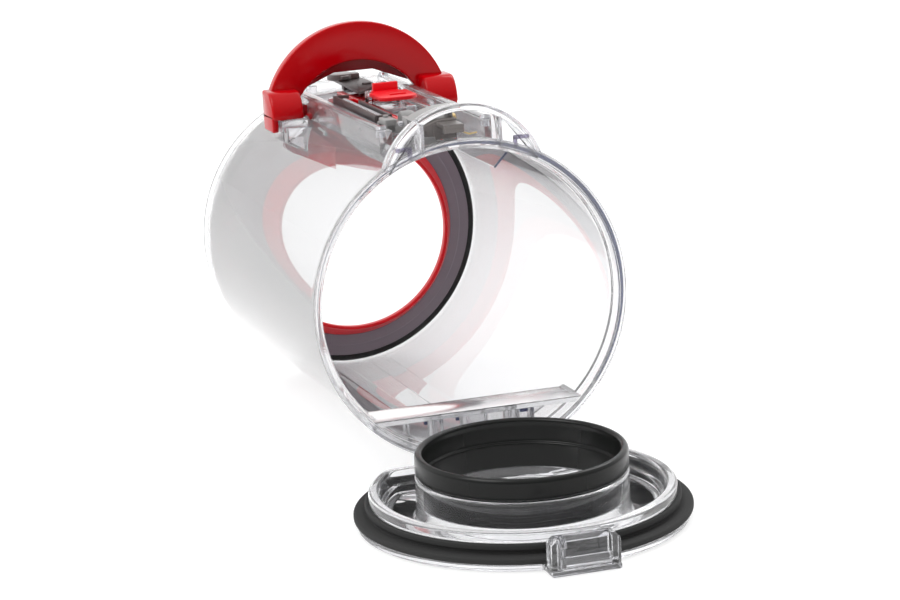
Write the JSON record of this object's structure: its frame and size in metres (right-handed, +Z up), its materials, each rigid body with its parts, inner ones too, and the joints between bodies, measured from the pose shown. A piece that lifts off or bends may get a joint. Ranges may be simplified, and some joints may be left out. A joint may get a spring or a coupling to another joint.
{
  "type": "vacuum cleaner dust bin",
  "caption": "Clear tubular dust bin with a hinged D-shaped lid lying open, a seal, a gasket ring, and a red sliding arch lever on a runner that frees the lid's latch.",
  "frame": {"origin": "centre of the whole part's box at table level: the lid's outer face and the bin's rear edge rest on z = 0", "axes": "+Y along the bin away from the open lid, +Z up from the table, +X across the bin to the right seen from the lid"},
  "size_m": [0.1276, 0.3124, 0.1553],
  "materials": {
    "clear": "clear moulded polycarbonate, glossy",
    "clear_frosted": "clear moulded plastic with a slight haze",
    "print": "printed ink",
    "red": "glossy moulded plastic",
    "dark_red": "satin moulded plastic",
    "grey_plastic": "satin moulded plastic",
    "dark_metal": "dark brushed steel",
    "black_rubber": "smooth satin rubber",
    "steel": "plain steel",
    "brass_wire": "drawn wire"
  },
  "bodies": {
    "bin": {"bin_tube": "clear", "latch_hood": "clear", "runner_rails": "clear_frosted", "button_carrier": "clear_frosted", "lever_guides": "clear", "deflector_tab": "clear_frosted", "fill_mark": "print", "rear_collar": "red", "wiper_plate": "grey_plastic", "wiper_seal": "black_rubber", "runner_channel": "dark_metal", "rear_bracket": "dark_metal", "rear_boss": "grey_plastic", "latch_bracket": "grey_plastic", "runner_screws": "steel", "hinge_pin": "steel", "latch_pin": "steel", "button_pin": "steel", "latch_spring": "brass_wire", "lever_spring": "steel", "button_spring": "steel"},
    "lever": {"release_lever": "red", "lever_lining": "dark_red", "lever_crosspiece": "red", "lever_screws": "steel", "push_rod": "red", "slide_block": "grey_plastic"},
    "latch": {"latch_lever": "grey_plastic"},
    "button": {"release_button": "red"},
    "lid": {"lid_base": "clear", "lid_core": "clear", "lid_clip": "clear", "lid_seal": "black_rubber", "gasket_ring": "black_rubber"}
  },
  "joints": [
    {"name": "lid_hinge", "type": "hinge", "parent": "bin", "child": "lid", "pos_m": [0, -0.02806, 0.0137], "axis": [-1, 0, 0], "range_deg": [0, 93.31]},
    {"name": "lever_slide", "type": "slide", "parent": "bin", "child": "lever", "axis": [0, -0.9983, 0.0578], "range_m": [0, 0.01], "stiffness_N_per_m": 400, "springref_m": -0.008, "deforming": ["lever_spring"]},
    {"name": "latch_pivot", "type": "hinge", "parent": "bin", "child": "latch", "pos_m": [0, -0.00213, 0.13641], "axis": [-1, 0, 0], "range_deg": [0, 7.05]},
    {"name": "button_press", "type": "hinge", "parent": "bin", "child": "button", "pos_m": [0, 0.07512, 0.13153], "axis": [1, 0, 0], "range_deg": [0, 5], "stiffness_Nm_per_rad": 0.4, "springref_deg": -3.44, "deforming": ["button_spring"]}
  ],
  "couplings": [
    {"joint": "latch_pivot", "follows": "lever_slide", "rad_per_m": 12.217}
  ]
}
